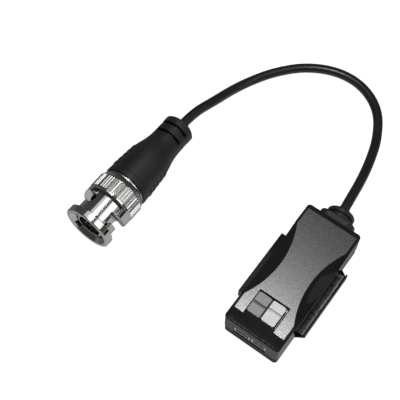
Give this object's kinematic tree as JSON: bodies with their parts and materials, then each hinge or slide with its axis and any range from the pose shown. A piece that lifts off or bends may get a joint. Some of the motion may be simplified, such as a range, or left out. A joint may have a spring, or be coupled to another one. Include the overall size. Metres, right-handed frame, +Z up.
{
  "type": "video balun",
  "caption": "Passive video balun: slim two-part housing with push-button wire terminals and side interlocks, a short thin cable and a bayonet plug with a flexible boot.",
  "frame": {"origin": "centre of the housing's underside", "axes": "+Y along the housing from the wire terminals to the cable, +X across it, +Z up"},
  "size_m": [0.0706, 0.0884, 0.0147],
  "materials": {
    "housing_black": "gloss",
    "plate_grey": "matte",
    "terminal_grey": "satin",
    "button_grey": "satin",
    "button_white": "satin",
    "spring_steel": "satin",
    "tinned_copper": "satin",
    "board_green": "satin",
    "ferrite": "matte",
    "enamel_wire": "gloss",
    "ceramic_tan": "satin",
    "chip_black": "matte",
    "bush_black": "satin",
    "cable_black": "satin",
    "boot_black": "matte",
    "nickel": "polished",
    "insulator_white": "satin",
    "gold_pin": "polished",
    "gasket_red": "matte"
  },
  "bodies": {
    "housing": {"braid_tail": "tinned_copper", "cable_strain_relief": "bush_black", "centre_pin": "gold_pin", "ceramic_capacitor": "ceramic_tan", "chip_resistors": "chip_black", "circuit_board": "board_green", "clamp_spring_left": "spring_steel", "clamp_spring_right": "spring_steel", "coax_cable": "cable_black", "contact_strip_left": "tinned_copper", "contact_strip_right": "tinned_copper", "core_conductor": "tinned_copper", "crimp_ferrule": "nickel", "face_gasket": "gasket_red", "inner_insulation": "insulator_white", "lower_cover": "housing_black", "plug_body": "nickel", "plug_boot": "boot_black", "plug_insulator": "insulator_white", "retaining_ring": "spring_steel", "spring_washers": "spring_steel", "surge_suppressor": "chip_black", "terminal_body": "terminal_grey", "top_plate": "plate_grey", "toroid_core": "ferrite", "upper_shell": "housing_black", "winding": "enamel_wire"},
    "button_left": {"button_left": "button_grey"},
    "button_right": {"button_right": "button_white"},
    "coupling_carrier": {"thrust_washer": "spring_steel"},
    "coupling": {"coupling_nut": "nickel"}
  },
  "joints": [
    {"name": "press_left", "type": "slide", "parent": "housing", "child": "button_left", "axis": [0, 0, -1], "range_m": [0, 0.0012], "stiffness_N_per_m": 1200, "springref_m": -0.0006, "deforming": ["clamp_spring_left"]},
    {"name": "press_right", "type": "slide", "parent": "housing", "child": "button_right", "axis": [0, 0, -1], "range_m": [0, 0.0012], "stiffness_N_per_m": 1200, "springref_m": -0.0006, "deforming": ["clamp_spring_right"]},
    {"name": "coupling_draw", "type": "slide", "parent": "housing", "child": "coupling_carrier", "axis": [-0.0244, -0.9994, 0.0244], "range_m": [0, 0.0008], "stiffness_N_per_m": 8000, "springref_m": -0.0005, "deforming": ["spring_washers"]},
    {"name": "coupling_turn", "type": "hinge", "parent": "coupling_carrier", "child": "coupling", "pos_m": [-0.053, -0.02066, 0.0076], "axis": [0.0244, 0.9994, -0.0244], "continuous": true}
  ]
}
